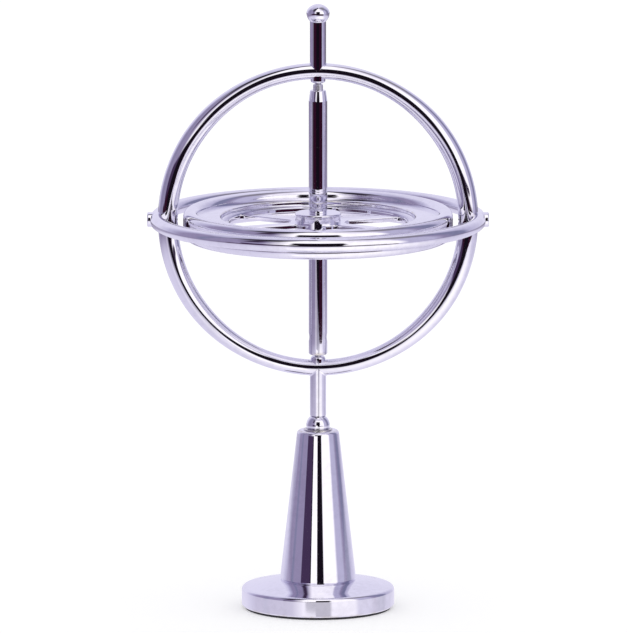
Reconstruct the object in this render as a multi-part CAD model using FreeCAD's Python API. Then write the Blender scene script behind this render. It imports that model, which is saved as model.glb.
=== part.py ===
import FreeCAD, Part
import math
import os

from FreeCAD import Vector

# A classroom gyroscope that stands on a tapered pedestal.
# Units are millimetres. +Z is up, +X points to the right-hand ring rivet, and the origin is the
# centre of the pad's underside. Every piece is a separate solid in its own STEP file.
#
# Stand:  pad, base disc, base screw, column, pivot cup.
# Frame:  lower stem, upper stem, top ball, vertical ring, horizontal ring, two rivets, two bearings.
# Ball:   the pivot ball, which turns in the cup and carries the lower stem.
# Rotor:  axle, two pivot pins, hub, spoked web and rim.

# ---------------------------------------------------------------- driving dimensions: stand
base_radius = 14.55
base_wall_height = 3.0          # straight side wall, from the pad up
base_edge_round = 0.75          # rounding from the wall to the domed top
base_dome_rise = 1.35           # how much higher the column's seat is than the rounded edge
base_dome_bulge = 0.53          # share of the rise that is reached halfway in; 0.5 is a plain cone
base_bottom_chamfer = 0.25

pad_inset = 0.65                # pad's edge inside the base disc's edge
pad_thickness = 0.5

column_height = 28.8
column_foot_radius = 7.25
column_foot_chamfer = 0.25
column_shoulder_round = 0.7
column_shoulder_width = 1.2     # from the cup's flange to where the cone would meet the flat top

screw_radius = 1.5
screw_hole_clearance = 0.2      # base disc's hole round the screw
screw_head_radius = 3.0
screw_head_height = 1.5         # countersunk, flush with the base disc's underside
screw_grip = 9.0                # length inside the column
screw_end_chamfer = 0.4
screw_slot_width = 0.7
screw_slot_depth = 0.7

cup_wall = 0.2                  # spigot's radius beyond the ball's
cup_flange_width = 0.3
cup_flange_height = 0.2         # above the column's flat top
cup_floor = 1.47                # under the ball's seat

# ---------------------------------------------------------------- driving dimensions: pivot ball
ball_radius = 2.25
ball_rise = 0.67                # ball's centre above the cup's lip
ball_fit = 0.05                 # spherical running clearance, in the cup and under the stem

# ---------------------------------------------------------------- driving dimensions: frame
vring_rod_side = 1.9            # vertical ring's rod radius at the two crossings
vring_rod_pole = 1.53           # and at the top and bottom
vring_side_angle = 30.0         # the rod is thickest up to this angle from a crossing
vring_pole_angle = 75.0         # and plain again beyond this one
vring_swell_sections = 5
vring_running_gap = 1.0         # from the flywheel's rim to the vertical ring

hring_rod = 1.38
hring_step = 2.1                # horizontal ring's centre line outside the vertical ring's

rivet_radius = 0.7
rivet_head_radius = 1.4
rivet_head_stand = 0.45         # how far the flat head stands out past the rod
rivet_head_depth = 1.3
rivet_head_chamfer = 0.2

lower_stem_length = 9.6         # from the pivot ball's centre to the ring's outside
upper_stem_length = 9.65        # from the ring's outside to the top ball's centre
stem_radius = 1.54
stem_spigot_radius = 0.9        # reduced end that enters the ring
stem_spigot_length = 1.3
stem_saddle_depth = 0.7         # how far the stem's end reaches round the ring's rod
top_ball_radius = 2.2
top_ball_crown = 1.7            # height of its flatter upper half
top_ball_shoulder = 1.25        # rounding between its widest point and its crown
top_ball_dowel_radius = 0.8
top_ball_dowel_length = 1.4
top_ball_dowel_root = 1.0       # dowel's length inside the stem
dowel_end_gap = 0.1

bearing_radius = 1.4
bearing_stand = 0.72            # dome's height inside the ring
bearing_spigot_length = 1.2
bearing_skirt_depth = 0.6       # how far the bush reaches round the ring's rod
bearing_dome_round = 0.45

# ---------------------------------------------------------------- driving dimensions: rotor
flywheel_drop = 0.9             # rim's middle plane below the rings' common centre
rim_outer_radius = 25.7
rim_width = 2.8                 # radial; top and bottom edges are full rounds
rim_height = 5.7
plate_width = 4.4               # flat plate between the rim and the recess
plate_top = 1.6                 # above the middle plane
plate_bottom = 0.9              # below it
recess_depth = 1.1              # from the plate's top down to the spoked floor
recess_lip_round = 0.35
floor_thickness = 0.9           # the floor is thinner than the plate, so it is recessed below too

spoke_count = 6
spoke_width = 3.0
spoke_turn = 25.0               # degrees, first spoke from +X
window_ledge = 1.5              # floor left between a window and the recess's wall
window_hub_land = 1.0           # floor left between a window and the hub
window_corner_round = 1.0

hub_radius = 4.4
hub_top = 2.3                   # above the middle plane
hub_bottom = 1.9                # below it
hub_edge_round = 0.35

axle_radius = 1.77
axle_top_gap = 2.15             # from the ring's inside to the axle's shoulder
axle_taper_length = 2.0
axle_taper_radius = 1.5         # shoulder radius at the upper end
axle_end_round = 0.35           # rounding of the lower end

string_hole_radius = 0.5
string_hole_height = 3.4        # centre above the axle's lower end

pivot_radius = 0.6
pivot_neck_radius = 0.95
pivot_engagement = 0.75         # journal's length inside the bearing
pivot_press_length = 3.0        # inside the axle
pivot_point_length = 0.35
pivot_end_gap = 0.1             # between the pivot's point and the bottom of its bore

# ---------------------------------------------------------------- fits
press_clearance = 0.01          # radial, between pieces that are pressed together
seat_clearance = 0.02           # between curved faces that rest on each other
journal_clearance = 0.05        # radial running clearance of a pivot in its bearing
bearing_face_gap = 0.3          # from a bearing's dome to the axle or to the pivot's neck

# ---------------------------------------------------------------- radii that follow
pad_radius = base_radius - pad_inset
cup_spigot_radius = ball_radius + cup_wall
cup_flange_radius = cup_spigot_radius + cup_flange_width
column_top_radius = cup_flange_radius + column_shoulder_width
vring_radius = rim_outer_radius + vring_running_gap + vring_rod_side
vring_outer = vring_radius + vring_rod_pole
vring_inner = vring_radius - vring_rod_pole
hring_radius = vring_radius + hring_step
rivet_tip_x = hring_radius + hring_rod + rivet_head_stand
rivet_head_x = rivet_tip_x - rivet_head_depth
rivet_tail_x = vring_radius - vring_rod_side
rim_inner_radius = rim_outer_radius - rim_width
recess_radius = rim_inner_radius - plate_width
window_outer_radius = recess_radius - window_ledge
window_inner_radius = hub_radius + window_hub_land

# ---------------------------------------------------------------- heights that follow
base_bottom_z = pad_thickness
base_edge_z = base_bottom_z + base_wall_height + base_edge_round
column_foot_z = base_edge_z + base_dome_rise
column_top_z = column_foot_z + column_height
cup_lip_z = column_top_z + cup_flange_height
ball_z = cup_lip_z + ball_rise
cup_bottom_z = ball_z - ball_radius - ball_fit - cup_floor
gimbal_z = ball_z + lower_stem_length + vring_outer
flywheel_z = gimbal_z - flywheel_drop
top_ball_z = gimbal_z + vring_outer + upper_stem_length
upper_face_z = gimbal_z + vring_inner - bearing_stand
lower_face_z = gimbal_z - vring_inner + bearing_stand
axle_top_z = gimbal_z + vring_inner - axle_top_gap
axle_bottom_z = lower_face_z + bearing_face_gap

Z_AXIS = Vector(0, 0, 1)
ORIGIN = Vector(0, 0, 0)


# ---------------------------------------------------------------- helpers
def point(radius, z):
    """A point of a turned piece's half section."""
    return Vector(radius, 0, z)


def line(start, end):
    return Part.LineSegment(start, end).toShape()


def arc(start, middle, end):
    return Part.Arc(start, middle, end).toShape()


def corner_arc(start, end, centre):
    """Arc from start to end about centre, the short way round."""
    radius = (start - centre).Length
    halfway = (start - centre) + (end - centre)
    return arc(start, centre + halfway.normalize() * radius, end)


def turned(edges):
    """Solid of revolution about the Z axis, from the closed half section that the edges bound."""
    section = Part.Face(Part.Wire(edges))
    return section.revolve(ORIGIN, Z_AXIS, 360)


def turned_polygon(points):
    corners = points + [points[0]]
    return turned([line(a, b) for a, b in zip(corners, corners[1:])])


def rod(radius, bottom_z, top_z):
    return Part.makeCylinder(radius, top_z - bottom_z, Vector(0, 0, bottom_z))


def cross_rod(radius, start_x, end_x, z):
    """Cylinder along X."""
    return Part.makeCylinder(radius, end_x - start_x, Vector(start_x, 0, z), Vector(1, 0, 0))


def mirrored_in_height(shape, mirror_z):
    return shape.mirror(Vector(0, 0, mirror_z), Z_AXIS)


def mirrored_in_width(shape):
    return shape.mirror(ORIGIN, Vector(1, 0, 0))


# ---------------------------------------------------------------- stand
def base_pad():
    return rod(pad_radius, 0, pad_thickness)


def base_disc():
    wall_top_z = base_bottom_z + base_wall_height
    inner_edge_radius = base_radius - base_edge_round
    edge_centre = point(inner_edge_radius, wall_top_z)
    dome_mid = point((inner_edge_radius + column_foot_radius) / 2,
                     base_edge_z + base_dome_bulge * base_dome_rise)
    foot = point(column_foot_radius, column_foot_z)
    disc = turned([
        line(point(0, base_bottom_z), point(base_radius - base_bottom_chamfer, base_bottom_z)),
        line(point(base_radius - base_bottom_chamfer, base_bottom_z),
             point(base_radius, base_bottom_z + base_bottom_chamfer)),
        line(point(base_radius, base_bottom_z + base_bottom_chamfer), point(base_radius, wall_top_z)),
        corner_arc(point(base_radius, wall_top_z), point(inner_edge_radius, base_edge_z), edge_centre),
        arc(point(inner_edge_radius, base_edge_z), dome_mid, foot),
        line(foot, point(0, column_foot_z)),
        line(point(0, column_foot_z), point(0, base_bottom_z)),
    ])
    hole_radius = screw_radius + screw_hole_clearance
    screw_hole = rod(hole_radius, base_bottom_z, column_foot_z)
    countersink = Part.makeCone(screw_head_radius + press_clearance, screw_radius + press_clearance,
                                screw_head_height, Vector(0, 0, base_bottom_z))
    return disc.cut(screw_hole.fuse(countersink))


def base_screw():
    tip_z = column_foot_z + screw_grip
    head_top_z = base_bottom_z + screw_head_height
    screw = turned_polygon([
        point(0, base_bottom_z),
        point(screw_head_radius, base_bottom_z),
        point(screw_radius, head_top_z),
        point(screw_radius, tip_z - screw_end_chamfer),
        point(screw_radius - screw_end_chamfer, tip_z),
        point(0, tip_z),
    ])
    slot = Part.makeBox(3 * screw_head_radius, screw_slot_width, screw_slot_depth,
                        Vector(-1.5 * screw_head_radius, -screw_slot_width / 2, base_bottom_z))
    return screw.cut(slot)


def column():
    slope = math.atan2(column_foot_radius - column_top_radius, column_height)
    # the shoulder's arc touches the flat top and the cone
    setback = column_shoulder_round * math.tan((math.pi / 2 - slope) / 2)
    flat_end = point(column_top_radius - setback, column_top_z)
    cone_end = point(column_top_radius + setback * math.sin(slope),
                     column_top_z - setback * math.cos(slope))
    shoulder_centre = point(flat_end.x, column_top_z - column_shoulder_round)
    foot_inner = point(column_foot_radius - column_foot_chamfer, column_foot_z)
    foot_outer = point(column_foot_radius - column_foot_chamfer * math.tan(slope),
                       column_foot_z + column_foot_chamfer)
    cone = turned([
        line(point(0, column_foot_z), foot_inner),
        line(foot_inner, foot_outer),
        line(foot_outer, cone_end),
        corner_arc(cone_end, flat_end, shoulder_centre),
        line(flat_end, point(0, column_top_z)),
        line(point(0, column_top_z), point(0, column_foot_z)),
    ])
    screw_hole = rod(screw_radius + press_clearance, column_foot_z,
                     column_foot_z + screw_grip + screw_end_chamfer)
    cup_hole = rod(cup_spigot_radius + press_clearance, cup_bottom_z, column_top_z)
    return cone.cut(screw_hole).cut(cup_hole)


def pivot_cup():
    spigot = rod(cup_spigot_radius, cup_bottom_z, column_top_z)
    flange = rod(cup_flange_radius, column_top_z, cup_lip_z)
    seat = Part.makeSphere(ball_radius + ball_fit, Vector(0, 0, ball_z))
    return spigot.fuse(flange).removeSplitter().cut(seat)


# ---------------------------------------------------------------- pivot ball
def pivot_ball():
    return Part.makeSphere(ball_radius, Vector(0, 0, ball_z))


# ---------------------------------------------------------------- frame
def vring_place(angle):
    """Point of the vertical ring's centre line, at an angle up from the right-hand crossing."""
    turn = math.radians(angle)
    return Vector(vring_radius * math.cos(turn), 0, gimbal_z + vring_radius * math.sin(turn))


def vring_section(angle, rod_radius):
    turn = math.radians(angle)
    along = Vector(-math.sin(turn), 0, math.cos(turn))
    return Part.Wire(Part.Circle(vring_place(angle), along, rod_radius).toShape())


def plain_vring_arc(rod_radius, start, end):
    """Piece of the vertical ring whose rod has one radius."""
    section = Part.Face(vring_section(start, rod_radius))
    return section.revolve(Vector(0, 0, gimbal_z), Vector(0, -1, 0), end - start)


def swelling_vring_arc():
    """Piece of the vertical ring whose rod thins smoothly from the side radius to the pole radius."""
    middle = (vring_side_angle + vring_pole_angle) / 2
    spine = arc(vring_place(vring_side_angle), vring_place(middle), vring_place(vring_pole_angle))
    sweep = Part.BRepOffsetAPI.MakePipeShell(Part.Wire(spine))
    sweep.setFrenetMode(True)
    for index in range(vring_swell_sections):
        share = index / (vring_swell_sections - 1)
        blend = (1 - math.cos(math.pi * share)) / 2
        angle = vring_side_angle + (vring_pole_angle - vring_side_angle) * share
        rod_radius = vring_rod_side + (vring_rod_pole - vring_rod_side) * blend
        sweep.add(vring_section(angle, rod_radius))
    sweep.build()
    sweep.makeSolid()
    return sweep.shape()


def vertical_ring_blank():
    """The vertical ring before anything is let into it."""
    crossing = plain_vring_arc(vring_rod_side, -vring_side_angle, vring_side_angle)
    pole = plain_vring_arc(vring_rod_pole, vring_pole_angle, 180 - vring_pole_angle)
    swell = swelling_vring_arc()
    swells = [swell, mirrored_in_width(swell)]
    swells += [mirrored_in_height(piece, gimbal_z) for piece in swells]
    others = [mirrored_in_width(crossing), pole, mirrored_in_height(pole, gimbal_z)]
    return crossing.multiFuse(others + swells).removeSplitter()


def pole_rod(extra=0.0):
    """Plain torus that the vertical ring follows near its top and bottom."""
    return Part.makeTorus(vring_radius, vring_rod_pole + extra, Vector(0, 0, gimbal_z),
                          Vector(0, 1, 0))


def horizontal_rod(extra=0.0):
    """The horizontal ring's plain round rod, or a larger one to cut its notch."""
    return Part.makeTorus(hring_radius, hring_rod + extra, Vector(0, 0, gimbal_z), Z_AXIS)


def rivet_hole():
    """Both rivets' shank and head spaces, with press clearance."""
    shank = cross_rod(rivet_radius + press_clearance, 0.8 * rivet_tail_x, rivet_tip_x, gimbal_z)
    head = cross_rod(rivet_head_radius + press_clearance, rivet_head_x,
                     rivet_tip_x + hring_rod, gimbal_z)
    hole = shank.fuse(head)
    return hole.fuse(mirrored_in_width(hole))


def end_fitting_hole():
    """The hole through the vertical ring at its top and bottom, for a stem and a bearing."""
    radius = stem_spigot_radius + press_clearance
    return rod(radius, gimbal_z - 2 * vring_radius, gimbal_z + 2 * vring_radius)


def vertical_ring():
    ring = vertical_ring_blank().cut(horizontal_rod(seat_clearance))
    return ring.cut(end_fitting_hole()).cut(rivet_hole())


def horizontal_ring():
    return horizontal_rod().cut(rivet_hole())


def ring_rivets():
    shank = cross_rod(rivet_radius, rivet_tail_x, rivet_head_x, gimbal_z)
    head = cross_rod(rivet_head_radius, rivet_head_x, rivet_tip_x, gimbal_z)
    rivet = shank.fuse(head).removeSplitter()
    outer_edges = [edge for edge in rivet.Edges
                   if abs(edge.BoundBox.XMin - rivet_tip_x) < 1e-6
                   and abs(edge.BoundBox.XMax - rivet_tip_x) < 1e-6]
    rivet = rivet.makeChamfer(rivet_head_chamfer, outer_edges)
    return Part.makeCompound([rivet, mirrored_in_width(rivet)])


def stem_blank(outer_end_z, towards):
    """Round stem with a spigot in the ring; towards is +1 above the ring and -1 below it."""
    ring_outside_z = gimbal_z + towards * vring_outer
    saddle_z = ring_outside_z - towards * stem_saddle_depth
    spigot_z = ring_outside_z - towards * stem_spigot_length
    shank = rod(stem_radius, *sorted((saddle_z, outer_end_z))).cut(pole_rod(seat_clearance))
    spigot = rod(stem_spigot_radius, *sorted((spigot_z, outer_end_z)))
    return shank.fuse(spigot).removeSplitter()


def lower_stem():
    socket = Part.makeSphere(ball_radius + ball_fit, Vector(0, 0, ball_z))
    return stem_blank(ball_z, -1).cut(socket)


def top_ball_foot_z():
    """Height where the dowel enters the top ball."""
    return top_ball_z - math.sqrt(top_ball_radius ** 2 - top_ball_dowel_radius ** 2)


def upper_stem():
    socket = Part.makeSphere(top_ball_radius + seat_clearance, Vector(0, 0, top_ball_z))
    foot_z = top_ball_foot_z()
    dowel = rod(top_ball_dowel_radius, foot_z - top_ball_dowel_root, foot_z + top_ball_dowel_length)
    return stem_blank(top_ball_z, 1).cut(socket).fuse(dowel).removeSplitter()


def top_ball():
    """Ball whose upper half is flatter than its lower half, bored for the stem's dowel."""
    centre = point(0, top_ball_z)
    bottom = point(0, top_ball_z - top_ball_radius)
    widest = point(top_ball_radius, top_ball_z)
    crown = point(0, top_ball_z + top_ball_crown)
    # the shoulder's arc and the crown's arc touch where both centres line up
    shoulder_centre = point(top_ball_radius - top_ball_shoulder, top_ball_z)
    crown_radius = ((shoulder_centre.x ** 2 + top_ball_crown ** 2 - top_ball_shoulder ** 2)
                    / (2 * (top_ball_crown - top_ball_shoulder)))
    crown_centre = point(0, crown.z - crown_radius)
    outwards = (shoulder_centre - crown_centre).normalize()
    meeting = crown_centre + outwards * crown_radius
    ball = turned([
        corner_arc(bottom, widest, centre),
        corner_arc(widest, meeting, shoulder_centre),
        corner_arc(meeting, crown, crown_centre),
        line(crown, bottom),
    ])
    foot_z = top_ball_foot_z()
    socket = rod(top_ball_dowel_radius + press_clearance, foot_z - top_ball_dowel_root,
                 foot_z + top_ball_dowel_length + dowel_end_gap)
    return ball.cut(socket)


def bearing(towards):
    """Domed bush inside the ring, bored for a pivot; towards is +1 at the top and -1 at the bottom."""
    inside_z = gimbal_z + vring_inner
    face_z = inside_z - bearing_stand
    skirt_z = inside_z + bearing_skirt_depth
    dome_z = face_z + bearing_dome_round
    round_start = bearing_radius - bearing_dome_round
    dome = turned([
        line(point(0, face_z), point(round_start, face_z)),
        corner_arc(point(round_start, face_z), point(bearing_radius, dome_z),
                   point(round_start, dome_z)),
        line(point(bearing_radius, dome_z), point(bearing_radius, skirt_z)),
        line(point(bearing_radius, skirt_z), point(0, skirt_z)),
        line(point(0, skirt_z), point(0, face_z)),
    ])
    spigot = rod(stem_spigot_radius, dome_z, inside_z + bearing_spigot_length)
    bore = rod(pivot_radius + journal_clearance, face_z, face_z + pivot_engagement + pivot_end_gap)
    bush = dome.cut(pole_rod(seat_clearance)).fuse(spigot).removeSplitter().cut(bore)
    return bush if towards > 0 else mirrored_in_height(bush, gimbal_z)


# ---------------------------------------------------------------- rotor
def axle():
    shoulder_z = axle_top_z - axle_taper_length
    round_z = axle_bottom_z + axle_end_round
    round_centre = point(axle_radius - axle_end_round, round_z)
    bar = turned([
        line(point(0, axle_bottom_z), point(axle_radius - axle_end_round, axle_bottom_z)),
        corner_arc(point(axle_radius - axle_end_round, axle_bottom_z),
                   point(axle_radius, round_z), round_centre),
        line(point(axle_radius, round_z), point(axle_radius, shoulder_z)),
        line(point(axle_radius, shoulder_z), point(axle_taper_radius, axle_top_z)),
        line(point(axle_taper_radius, axle_top_z), point(0, axle_top_z)),
        line(point(0, axle_top_z), point(0, axle_bottom_z)),
    ])
    pin_hole = pivot_radius + press_clearance
    for low, high in ((axle_bottom_z, axle_bottom_z + pivot_press_length),
                      (axle_top_z - pivot_press_length, axle_top_z)):
        bar = bar.cut(rod(pin_hole, low, high))
    string_hole = cross_rod(string_hole_radius, -2 * axle_radius, 2 * axle_radius,
                            axle_bottom_z + string_hole_height)
    return bar.cut(string_hole)


def pivot_pin(shoulder_z, face_z):
    """Pointed steel pin from inside the axle, past its shoulder, into the bearing's bore."""
    out = 1 if face_z > shoulder_z else -1
    tip_z = face_z + out * pivot_engagement
    pin = turned_polygon([
        point(0, shoulder_z - out * pivot_press_length),
        point(pivot_radius, shoulder_z - out * pivot_press_length),
        point(pivot_radius, shoulder_z),
        point(pivot_neck_radius, shoulder_z),
        point(pivot_neck_radius, face_z - out * bearing_face_gap),
        point(pivot_radius, face_z - out * bearing_face_gap),
        point(pivot_radius, tip_z - out * pivot_point_length),
        point(0, tip_z),
    ])
    return pin


def plain_pivot_pin(shoulder_z, face_z):
    """The lower pin, where the bearing is so close that there is no room for a neck."""
    out = 1 if face_z > shoulder_z else -1
    tip_z = face_z + out * pivot_engagement
    return turned_polygon([
        point(0, shoulder_z - out * pivot_press_length),
        point(pivot_radius, shoulder_z - out * pivot_press_length),
        point(pivot_radius, tip_z - out * pivot_point_length),
        point(0, tip_z),
    ])


def hub():
    low_z, high_z = flywheel_z - hub_bottom, flywheel_z + hub_top
    bush = rod(hub_radius, low_z, high_z).cut(rod(axle_radius + press_clearance, low_z, high_z))
    rims = [edge for edge in bush.Edges
            if abs(edge.BoundBox.XMax - hub_radius) < 1e-3 and edge.BoundBox.ZLength < 1e-6]
    return bush.makeFillet(hub_edge_round, rims)


def window():
    """One opening between two spokes, as a tall prism with rounded corners, pointing along +X."""
    low_z, high_z = flywheel_z - rim_height, flywheel_z + rim_height
    pitch = 2 * math.pi / spoke_count
    sector = rod(window_outer_radius, low_z, high_z).cut(rod(window_inner_radius, low_z, high_z))
    # half planes that stay half a spoke's width from each spoke's centre line
    for side in (1, -1):
        keep = Part.makeBox(4 * window_outer_radius, 4 * window_outer_radius, 4 * rim_height,
                            Vector(-2 * window_outer_radius, spoke_width / 2, low_z - rim_height))
        if side < 0:
            keep = keep.mirror(ORIGIN, Vector(0, 1, 0))
        keep.rotate(ORIGIN, Z_AXIS, -side * math.degrees(pitch / 2))
        sector = sector.common(keep)
    uprights = [edge for edge in sector.Edges if edge.BoundBox.ZLength > rim_height / 2]
    return sector.makeFillet(window_corner_round, uprights)


def flywheel_web():
    top_z = flywheel_z + plate_top
    bottom_z = flywheel_z - plate_bottom
    floor_z = top_z - recess_depth
    under_z = floor_z - floor_thickness
    outer = rim_inner_radius - press_clearance
    bore = hub_radius + press_clearance
    plate = rod(outer, bottom_z, top_z).cut(rod(recess_radius, floor_z, top_z))
    plate = plate.cut(rod(recess_radius, bottom_z, under_z)).cut(rod(bore, bottom_z, top_z))
    lip = [edge for edge in plate.Edges
           if abs(edge.BoundBox.XMax - recess_radius) < 1e-3
           and abs(edge.BoundBox.ZMin - top_z) < 1e-6]
    plate = plate.makeFillet(recess_lip_round, lip)
    opening = window()
    for step in range(spoke_count):
        copy = opening.copy()
        copy.rotate(ORIGIN, Z_AXIS, spoke_turn + (step + 0.5) * 360.0 / spoke_count)
        plate = plate.cut(copy)
    return plate


def flywheel_rim():
    """Bullnose ring: a straight wall with full rounds at its top and bottom."""
    round_radius = rim_width / 2
    middle = rim_outer_radius - round_radius
    high_z = flywheel_z + rim_height / 2
    low_z = flywheel_z - rim_height / 2
    shoulder_high, shoulder_low = high_z - round_radius, low_z + round_radius
    return turned([
        line(point(rim_outer_radius, shoulder_low), point(rim_outer_radius, shoulder_high)),
        arc(point(rim_outer_radius, shoulder_high), point(middle, high_z),
            point(rim_inner_radius, shoulder_high)),
        line(point(rim_inner_radius, shoulder_high), point(rim_inner_radius, shoulder_low)),
        arc(point(rim_inner_radius, shoulder_low), point(middle, low_z),
            point(rim_outer_radius, shoulder_low)),
    ])


# ---------------------------------------------------------------- assembly
pieces = {
    "base_pad": base_pad(),
    "base_disc": base_disc(),
    "base_screw": base_screw(),
    "column": column(),
    "pivot_cup": pivot_cup(),
    "pivot_ball": pivot_ball(),
    "lower_stem": lower_stem(),
    "upper_stem": upper_stem(),
    "top_ball": top_ball(),
    "vertical_ring": vertical_ring(),
    "horizontal_ring": horizontal_ring(),
    "ring_rivets": ring_rivets(),
    "upper_bearing": bearing(1),
    "lower_bearing": bearing(-1),
    "axle": axle(),
    "upper_pivot": pivot_pin(axle_top_z, upper_face_z),
    "lower_pivot": plain_pivot_pin(axle_bottom_z, lower_face_z),
    "hub": hub(),
    "flywheel_web": flywheel_web(),
    "flywheel_rim": flywheel_rim(),
}

os.makedirs("parts", exist_ok=True)
for name, shape in pieces.items():
    shape.exportStep(f"parts/{name}.step")
    box = shape.BoundBox
    print(f"{name:16s} solids {len(shape.Solids)} valid {shape.isValid()} volume {shape.Volume:9.2f}"
          f"  x {box.XMin:7.2f} {box.XMax:7.2f}  z {box.ZMin:7.2f} {box.ZMax:7.2f}")
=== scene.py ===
# %% [markdown]
# # A polished gyroscope on its stand
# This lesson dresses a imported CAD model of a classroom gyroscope. The CAD pieces give every size and
# every place, so each new piece is made where its CAD piece is and then stands for it. The whole
# toy is bright plated metal, and such a surface shows almost nothing of its own: it shows the room.
# So the lesson has two halves, a studio that is worth reflecting and smooth turned shapes.

# %% Load the frame
import bmesh
import bpy
from math import acos, asin, atan2, cos, degrees, hypot, pi, radians, sin, sqrt, tan
from mathutils import Matrix, Vector


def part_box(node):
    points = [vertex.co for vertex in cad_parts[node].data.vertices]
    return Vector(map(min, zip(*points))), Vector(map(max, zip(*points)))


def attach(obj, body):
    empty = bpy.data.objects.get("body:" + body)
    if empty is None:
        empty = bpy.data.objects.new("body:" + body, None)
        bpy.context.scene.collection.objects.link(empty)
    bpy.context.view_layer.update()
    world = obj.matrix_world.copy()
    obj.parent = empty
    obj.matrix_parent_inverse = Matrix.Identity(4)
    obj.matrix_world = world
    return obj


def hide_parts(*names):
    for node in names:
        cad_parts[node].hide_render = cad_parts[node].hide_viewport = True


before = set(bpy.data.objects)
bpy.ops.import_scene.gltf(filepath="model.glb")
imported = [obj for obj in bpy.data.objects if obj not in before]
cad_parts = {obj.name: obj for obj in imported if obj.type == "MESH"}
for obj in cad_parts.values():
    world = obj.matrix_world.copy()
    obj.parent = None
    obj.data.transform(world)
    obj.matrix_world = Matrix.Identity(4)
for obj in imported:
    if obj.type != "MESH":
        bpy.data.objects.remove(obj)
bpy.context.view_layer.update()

# %% [markdown]
# ## Sizes
# The machinist's drawing is in millimetres, and so are the numbers here. A mesh is drawn in
# millimetres and scaled to metres once, when it is finished. Most sizes are read from the CAD
# pieces: how far a turned piece reaches from the upright axis, and its lowest and highest point.
# So a change in the CAD moves and resizes the new pieces too. Heights are above the table.

# %% Sizes in millimetres
MM = 0.001


def measure(node):
    """Reach from the upright axis, lowest height and highest height of a CAD piece."""
    low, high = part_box(node)
    return [round(value / MM, 3) for value in (high.y, low.z, high.z)]


PAD_RADIUS, PAD_BOTTOM, PAD_TOP = measure("base_pad")
FOOT_RADIUS, FOOT_BOTTOM, COLUMN_FOOT = measure("base_disc")
CUP_RADIUS, CUP_BOTTOM, CUP_LIP = measure("pivot_cup")
COLUMN_TOP = measure("column")[2]
BALL_RADIUS, BALL_LOW, BALL_HIGH = measure("pivot_ball")
BALL_HEIGHT = (BALL_LOW + BALL_HIGH) / 2
FINIAL_RADIUS, _, FINIAL_TOP = measure("top_ball")
FINIAL_CROWN, FINIAL_SHOULDER = 1.7, 1.25
FINIAL_HEIGHT = FINIAL_TOP - FINIAL_CROWN
NECK_RADIUS = measure("upper_stem")[0]
print("foot", FOOT_RADIUS, "column", COLUMN_FOOT, "to", COLUMN_TOP, "top ball at", FINIAL_HEIGHT)

# %% Ring and wheel sizes
level_reach, level_low, level_high = measure("horizontal_ring")
RINGS_HEIGHT = (level_low + level_high) / 2
LEVEL_ROD = (level_high - level_low) / 2
LEVEL_RADIUS = level_reach - LEVEL_ROD
RING_STEP = 2.1
UPRIGHT_RADIUS = LEVEL_RADIUS - RING_STEP
UPRIGHT_ROD_SIDE, UPRIGHT_ROD_POLE = measure("vertical_ring")[0], 1.53
RING_POLE = UPRIGHT_RADIUS + UPRIGHT_ROD_POLE
SPINDLE_RADIUS, SPINDLE_BOTTOM, SPINDLE_TOP = measure("axle")
RIM_OUTER, RIM_BOTTOM, RIM_TOP = measure("flywheel_rim")
RIM_INNER, PLATE_BOTTOM, PLATE_TOP = measure("flywheel_web")
HUB_RADIUS, HUB_BOTTOM, HUB_TOP = measure("hub")
RECESS_RADIUS, RECESS_DEPTH, FLOOR_THICKNESS = 18.5, 1.1, 0.9
RECESS_FLOOR = PLATE_TOP - RECESS_DEPTH
FLOOR_UNDERSIDE = RECESS_FLOOR - FLOOR_THICKNESS
print("rings at", RINGS_HEIGHT, "radii", UPRIGHT_RADIUS, LEVEL_RADIUS, "rim", RIM_BOTTOM, "to", RIM_TOP)

# %% [markdown]
# ## The camera
# The toy is seen from straight in front and nine and a half degrees above, through a very long
# lens, so the rings look almost like a drawing. The distance sets how strong the perspective is,
# and the lens then follows from how much of the scene the picture's height takes in.

# %% Camera
CAMERA_DISTANCE = 3500.0
CAMERA_ELEVATION = 9.5
PICTURE_HEIGHT = 120.65
LOOK_AT = Vector((-0.86, 0.0, 56.27))
SENSOR_WIDTH = 36.0
CLIP_NEAR, CLIP_FAR = 0.1, 60.0

camera_data = bpy.data.cameras.new("camera")
camera_data.sensor_width = SENSOR_WIDTH
camera_data.lens = SENSOR_WIDTH * CAMERA_DISTANCE / PICTURE_HEIGHT
camera_data.clip_start, camera_data.clip_end = CLIP_NEAR, CLIP_FAR
camera = bpy.data.objects.new("camera", camera_data)
tilt = radians(CAMERA_ELEVATION)
camera.location = (LOOK_AT + CAMERA_DISTANCE * Vector((0, -cos(tilt), sin(tilt)))) * MM
camera.rotation_euler = (radians(90.0 - CAMERA_ELEVATION), 0, 0)
bpy.context.scene.collection.objects.link(camera)
bpy.context.scene.camera = camera
bpy.context.scene.view_settings.view_transform = "Standard"
print("lens", round(camera_data.lens), "mm")

# %% [markdown]
# ## Helpers for wiring nodes
# Materials, the studio and the node groups all wire nodes in the same way. One helper fills inputs,
# each either with a value or with another node's output. The others add the nodes that come up
# again and again: arithmetic, a blend of two colours, noise and a step from zero to one.

# %% Node helpers
def fill(tree, inputs, values):
    for key, value in values.items():
        if isinstance(value, bpy.types.NodeSocket):
            tree.links.new(value, inputs[key])
        else:
            inputs[key].default_value = value


def add(tree, kind, inputs=None, **options):
    node = tree.nodes.new("ShaderNode" + kind)
    for key, value in options.items():
        setattr(node, key, value)
    fill(tree, node.inputs, inputs or {})
    return node


def maths(tree, operation, *values, clamp=False):
    return add(tree, "Math", dict(enumerate(values)), operation=operation, use_clamp=clamp).outputs[0]


def blend_colours(tree, share, first, second):
    return add(tree, "Mix", {0: share, 6: first, 7: second}, data_type="RGBA").outputs[2]


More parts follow.
